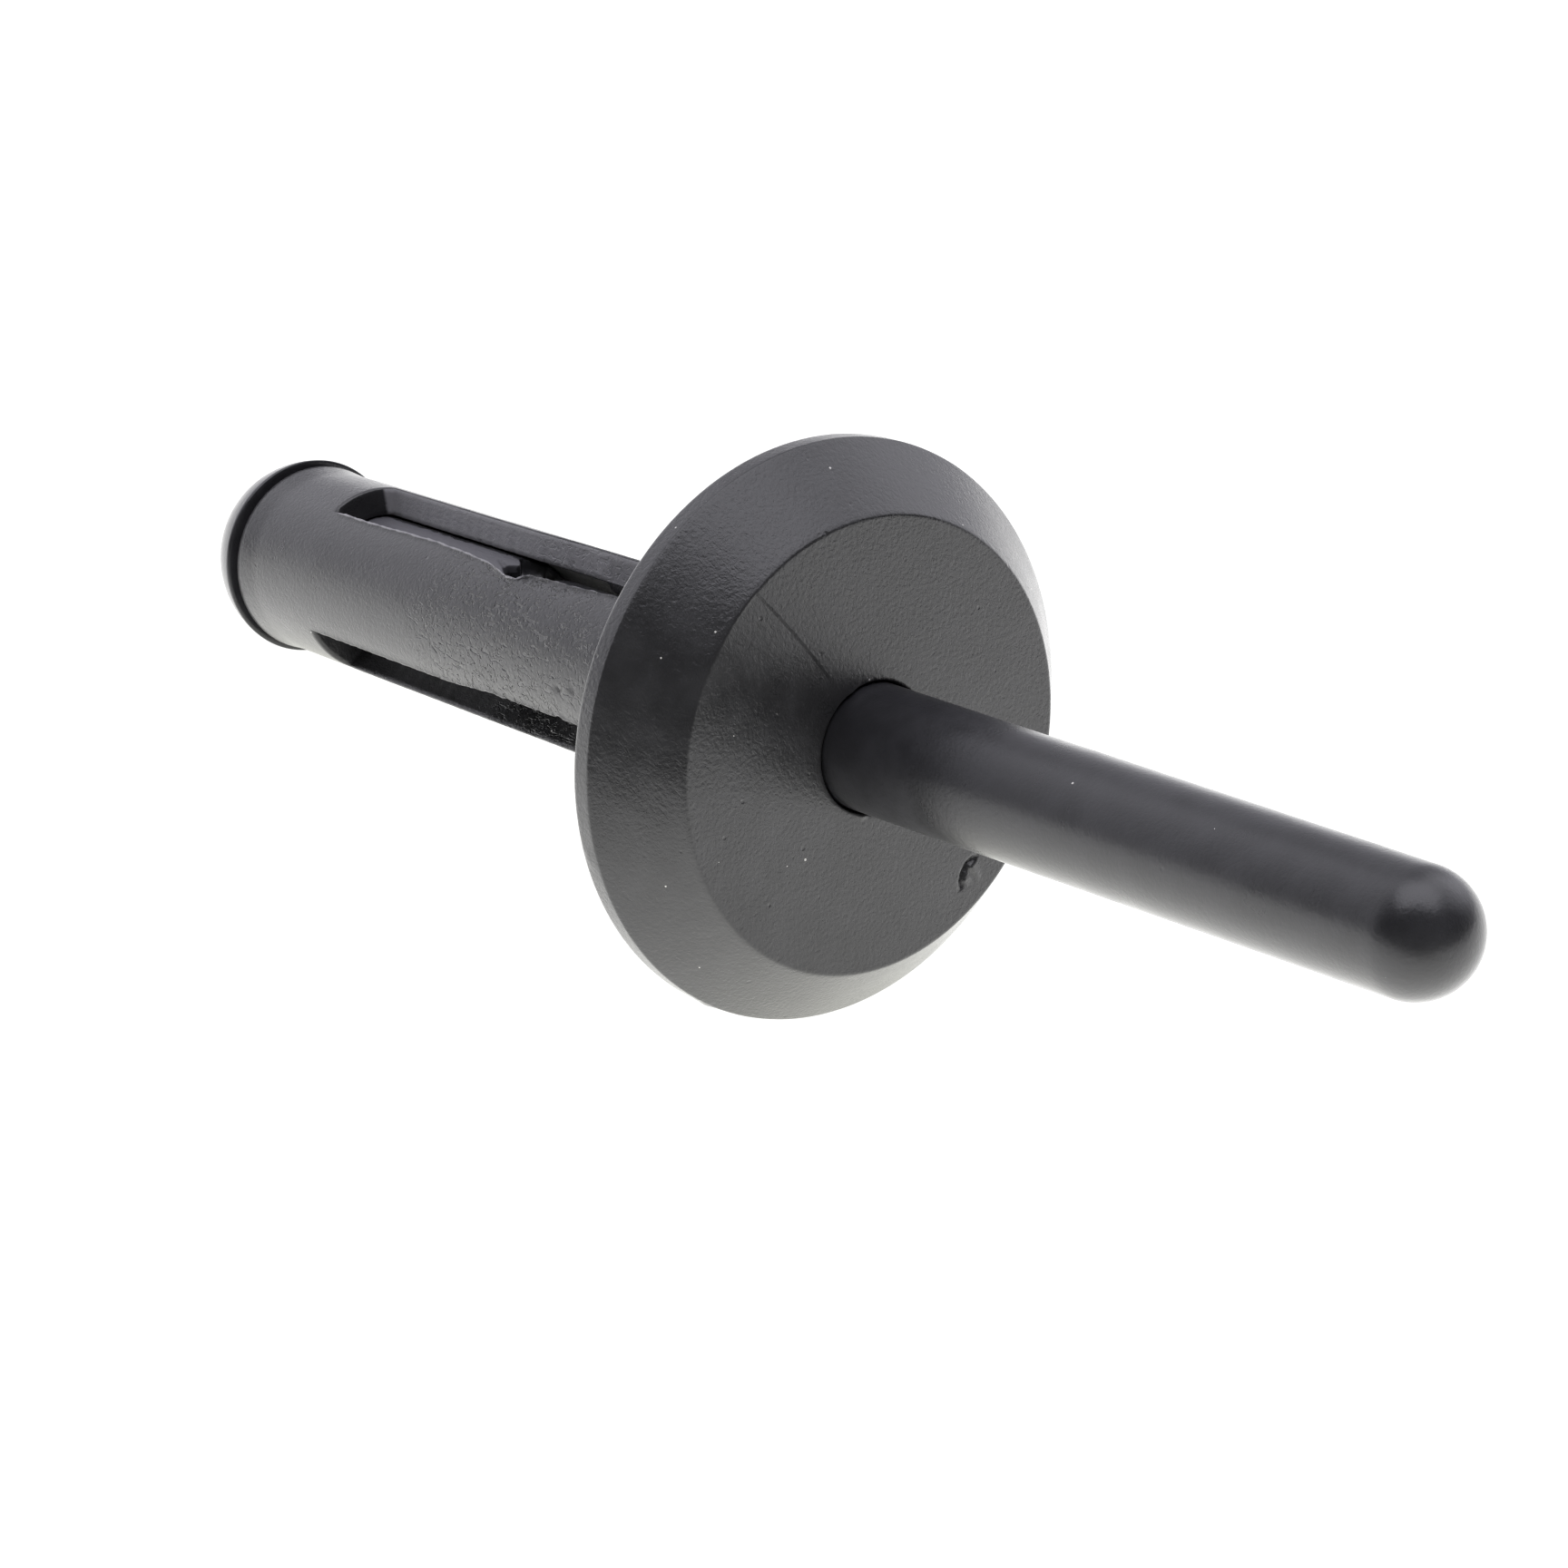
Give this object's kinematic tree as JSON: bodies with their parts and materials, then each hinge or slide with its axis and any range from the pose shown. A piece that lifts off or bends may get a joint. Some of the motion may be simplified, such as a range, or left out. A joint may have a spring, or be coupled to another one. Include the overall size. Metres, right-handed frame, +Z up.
{
  "type": "blind rivet retainer",
  "caption": "Plastic blind rivet retainer: slotted sleeve with a wide bevelled flange on a domed one-piece mandrel whose rounded stem is pulled to set it.",
  "frame": {"origin": "bottom centre of the retainer's box as it lies on a level surface, on the rim of its flange and the dome of its nose", "axes": "+X along the retainer's length, towards the end of the stem; +Z up, away from the surface it lies on"},
  "size_m": [0.0556, 0.0174, 0.0172],
  "materials": {
    "sleeve_nylon": "satin black moulded nylon with a fine grained flange",
    "mandrel_nylon": "smooth satin black moulded nylon"
  },
  "bodies": {
    "root": {"sleeve": "sleeve_nylon", "mandrel": "mandrel_nylon"}
  },
  "joints": []
}
